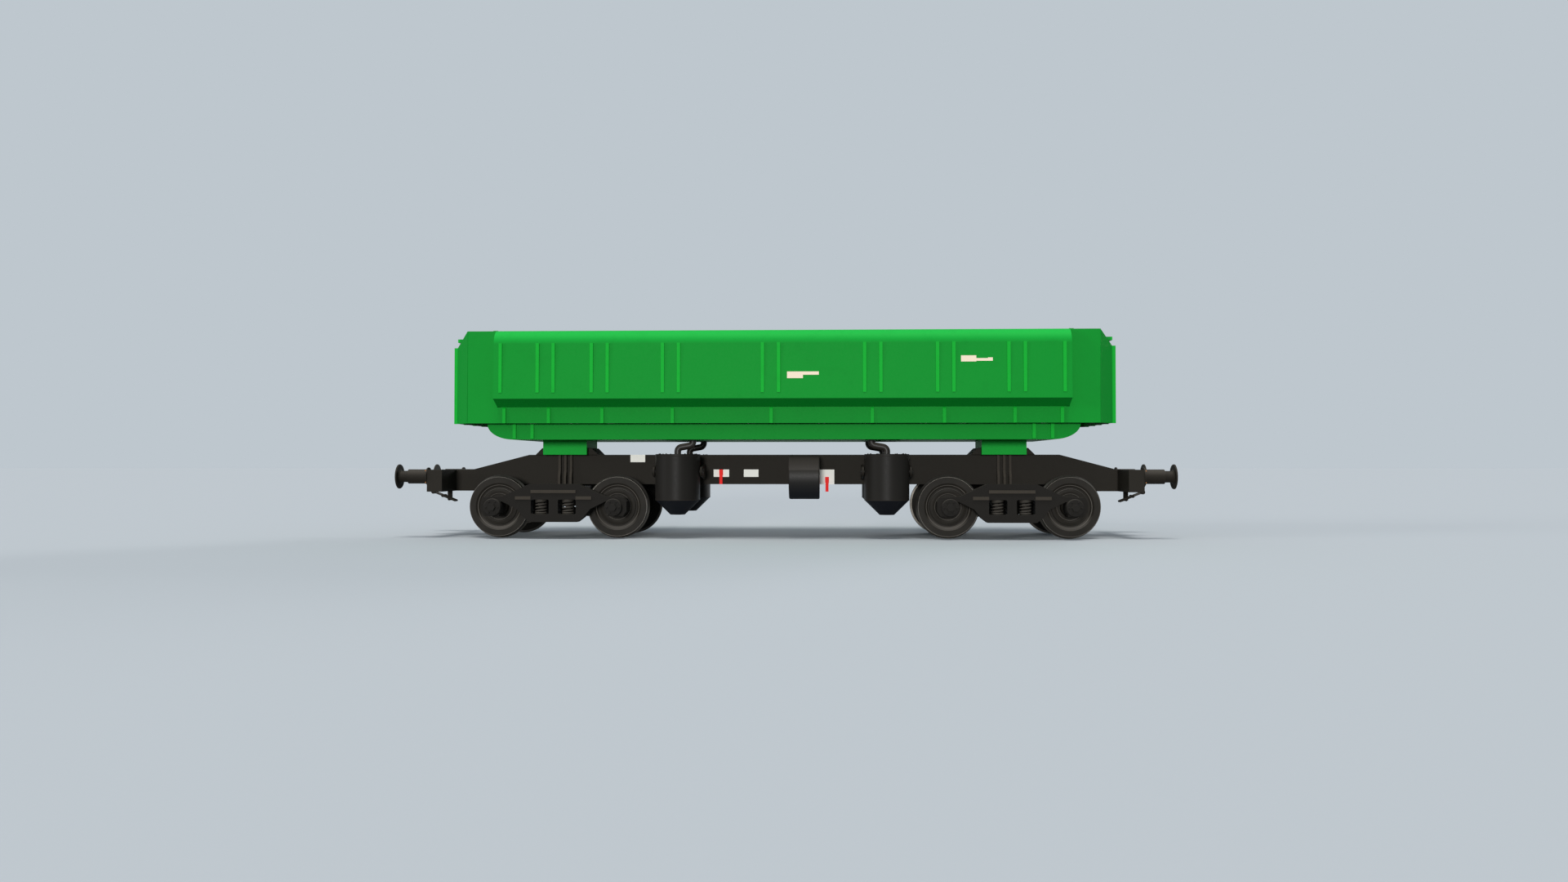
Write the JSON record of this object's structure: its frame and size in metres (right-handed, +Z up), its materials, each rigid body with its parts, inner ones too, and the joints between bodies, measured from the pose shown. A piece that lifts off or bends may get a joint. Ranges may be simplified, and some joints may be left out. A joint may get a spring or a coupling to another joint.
{
  "type": "side-tipping dump car",
  "caption": "Bogie rail dump car with a two-way tipping box, top-hung side doors, fish-belly sill, dump cylinders, buffers and screw couplings.",
  "frame": {"origin": "on the ground plane under the middle of the car, level with the bottoms of the wheel flanges, 28 mm below the rail head", "axes": "+X along the car, +Z up, near side at -Y"},
  "size_m": [11.938, 2.978, 3.1739],
  "materials": {
    "box_green": "satin green paint on welded plate",
    "underframe_dark": "matt black-brown paint",
    "wheel_steel": "dark rolled steel, bright at the tread",
    "bogie_casting": "rough dark casting",
    "spring_steel": "dark coil spring steel",
    "worn_steel": "dark greased steel",
    "lever_red": "red paint"
  },
  "bodies": {
    "root": {"air_reservoir": "underframe_dark", "brake_levers": "lever_red", "buffer_heads": "worn_steel", "buffer_housings": "underframe_dark", "centre_sill": "underframe_dark", "cylinder_brackets": "underframe_dark", "draw_hooks": "underframe_dark", "headstock_a": "underframe_dark", "headstock_b": "underframe_dark", "hinge_bearings_far": "underframe_dark", "hinge_bearings_near": "underframe_dark", "hinge_shaft_near": "worn_steel", "pedestals": "underframe_dark", "saddles": "box_green", "screw_couplings": "underframe_dark", "subframe_beams": "box_green", "subframe_bows": "box_green", "subframe_floor": "box_green", "subframe_side_far": "box_green", "subframe_side_near": "box_green"},
    "bogie_a": {"side_frame_a_near": "bogie_casting", "side_frame_a_far": "bogie_casting", "bolster_a": "bogie_casting", "springs_a": "spring_steel", "axle_bearings_a": "bogie_casting"},
    "bogie_b": {"side_frame_b_near": "bogie_casting", "side_frame_b_far": "bogie_casting", "bolster_b": "bogie_casting", "springs_b": "spring_steel", "axle_bearings_b": "bogie_casting"},
    "tipping_shaft": {"hinge_shaft_far": "worn_steel"},
    "box": {"floor": "box_green", "side_sill_near": "box_green", "side_sill_far": "box_green", "end_wall_a": "box_green", "end_wall_b": "box_green"},
    "door_near": {"door_near": "box_green"},
    "door_far": {"door_far": "box_green"},
    "wheelset_a1": {"wheelset_a1": "wheel_steel"},
    "wheelset_a2": {"wheelset_a2": "wheel_steel"},
    "wheelset_b1": {"wheelset_b1": "wheel_steel"},
    "wheelset_b2": {"wheelset_b2": "wheel_steel"},
    "barrel_a_near": {"barrel_a_near": "underframe_dark"},
    "stage_a_near": {"stage_a_near": "worn_steel"},
    "rod_a_near": {"rod_a_near": "worn_steel"},
    "barrel_a_far": {"barrel_a_far": "underframe_dark"},
    "stage_a_far": {"stage_a_far": "worn_steel"},
    "rod_a_far": {"rod_a_far": "worn_steel"},
    "barrel_b_near": {"barrel_b_near": "underframe_dark"},
    "stage_b_near": {"stage_b_near": "worn_steel"},
    "rod_b_near": {"rod_b_near": "worn_steel"},
    "barrel_b_far": {"barrel_b_far": "underframe_dark"},
    "stage_b_far": {"stage_b_far": "worn_steel"},
    "rod_b_far": {"rod_b_far": "worn_steel"}
  },
  "joints": [
    {"name": "bogie_a_swivel", "type": "hinge", "parent": "root", "child": "bogie_a", "pos_m": [-3.468, 0, 0.808], "axis": [0, 0, 1], "range_deg": [-4, 4]},
    {"name": "axle_a1", "type": "hinge", "parent": "bogie_a", "child": "wheelset_a1", "pos_m": [-4.393, 0, 0.488], "axis": [0, 1, 0], "continuous": true},
    {"name": "axle_a2", "type": "hinge", "parent": "bogie_a", "child": "wheelset_a2", "pos_m": [-2.543, 0, 0.488], "axis": [0, 1, 0], "continuous": true},
    {"name": "bogie_b_swivel", "type": "hinge", "parent": "root", "child": "bogie_b", "pos_m": [3.468, 0, 0.808], "axis": [0, 0, 1], "range_deg": [-4, 4]},
    {"name": "axle_b1", "type": "hinge", "parent": "bogie_b", "child": "wheelset_b1", "pos_m": [2.543, 0, 0.488], "axis": [0, 1, 0], "continuous": true},
    {"name": "axle_b2", "type": "hinge", "parent": "bogie_b", "child": "wheelset_b2", "pos_m": [4.393, 0, 0.488], "axis": [0, 1, 0], "continuous": true},
    {"name": "tip_near", "type": "hinge", "parent": "root", "child": "tipping_shaft", "pos_m": [0, -1, 1.698], "axis": [1, 0, 0], "range_deg": [0, 45]},
    {"name": "tip_far", "type": "hinge", "parent": "tipping_shaft", "child": "box", "pos_m": [0, 1, 1.698], "axis": [-1, 0, 0], "range_deg": [0, 45]},
    {"name": "door_near_swing", "type": "hinge", "parent": "box", "child": "door_near", "pos_m": [0, -1.19, 3.108], "axis": [-1, 0, 0], "range_deg": [0, 55]},
    {"name": "door_far_swing", "type": "hinge", "parent": "box", "child": "door_far", "pos_m": [0, 1.19, 3.108], "axis": [1, 0, 0], "range_deg": [0, 55]},
    {"name": "cylinder_a_near_swing", "type": "hinge", "parent": "root", "child": "barrel_a_near", "pos_m": [-1.612, -0.774, 1.028], "axis": [-1, 0, 0], "range_deg": [0, 15.58]},
    {"name": "stage_a_near_slide", "type": "slide", "parent": "barrel_a_near", "child": "stage_a_near", "axis": [0, 0, 1], "range_m": [0, 0.662]},
    {"name": "rod_a_near_slide", "type": "slide", "parent": "stage_a_near", "child": "rod_a_near", "axis": [0, 0, 1], "range_m": [0, 0.662]},
    {"name": "cylinder_a_far_swing", "type": "hinge", "parent": "root", "child": "barrel_a_far", "pos_m": [-1.612, 0.774, 1.028], "axis": [1, 0, 0], "range_deg": [0, 15.58]},
    {"name": "stage_a_far_slide", "type": "slide", "parent": "barrel_a_far", "child": "stage_a_far", "axis": [0, 0, 1], "range_m": [0, 0.662]},
    {"name": "rod_a_far_slide", "type": "slide", "parent": "stage_a_far", "child": "rod_a_far", "axis": [0, 0, 1], "range_m": [0, 0.662]},
    {"name": "cylinder_b_near_swing", "type": "hinge", "parent": "root", "child": "barrel_b_near", "pos_m": [1.612, -0.774, 1.028], "axis": [-1, 0, 0], "range_deg": [0, 15.58]},
    {"name": "stage_b_near_slide", "type": "slide", "parent": "barrel_b_near", "child": "stage_b_near", "axis": [0, 0, 1], "range_m": [0, 0.662]},
    {"name": "rod_b_near_slide", "type": "slide", "parent": "stage_b_near", "child": "rod_b_near", "axis": [0, 0, 1], "range_m": [0, 0.662]},
    {"name": "cylinder_b_far_swing", "type": "hinge", "parent": "root", "child": "barrel_b_far", "pos_m": [1.612, 0.774, 1.028], "axis": [1, 0, 0], "range_deg": [0, 15.58]},
    {"name": "stage_b_far_slide", "type": "slide", "parent": "barrel_b_far", "child": "stage_b_far", "axis": [0, 0, 1], "range_m": [0, 0.662]},
    {"name": "rod_b_far_slide", "type": "slide", "parent": "stage_b_far", "child": "rod_b_far", "axis": [0, 0, 1], "range_m": [0, 0.662]}
  ],
  "couplings": [
    {"joint": "cylinder_a_near_swing", "follows": "tip_far", "ratio": 0.3452},
    {"joint": "stage_a_near_slide", "follows": "tip_far", "m_per_rad": 0.83996},
    {"joint": "rod_a_near_slide", "follows": "tip_far", "m_per_rad": 0.83996},
    {"joint": "cylinder_a_far_swing", "follows": "tip_near", "ratio": 0.3452},
    {"joint": "stage_a_far_slide", "follows": "tip_near", "m_per_rad": 0.83996},
    {"joint": "rod_a_far_slide", "follows": "tip_near", "m_per_rad": 0.83996},
    {"joint": "cylinder_b_near_swing", "follows": "tip_far", "ratio": 0.3452},
    {"joint": "stage_b_near_slide", "follows": "tip_far", "m_per_rad": 0.83996},
    {"joint": "rod_b_near_slide", "follows": "tip_far", "m_per_rad": 0.83996},
    {"joint": "cylinder_b_far_swing", "follows": "tip_near", "ratio": 0.3452},
    {"joint": "stage_b_far_slide", "follows": "tip_near", "m_per_rad": 0.83996},
    {"joint": "rod_b_far_slide", "follows": "tip_near", "m_per_rad": 0.83996}
  ]
}
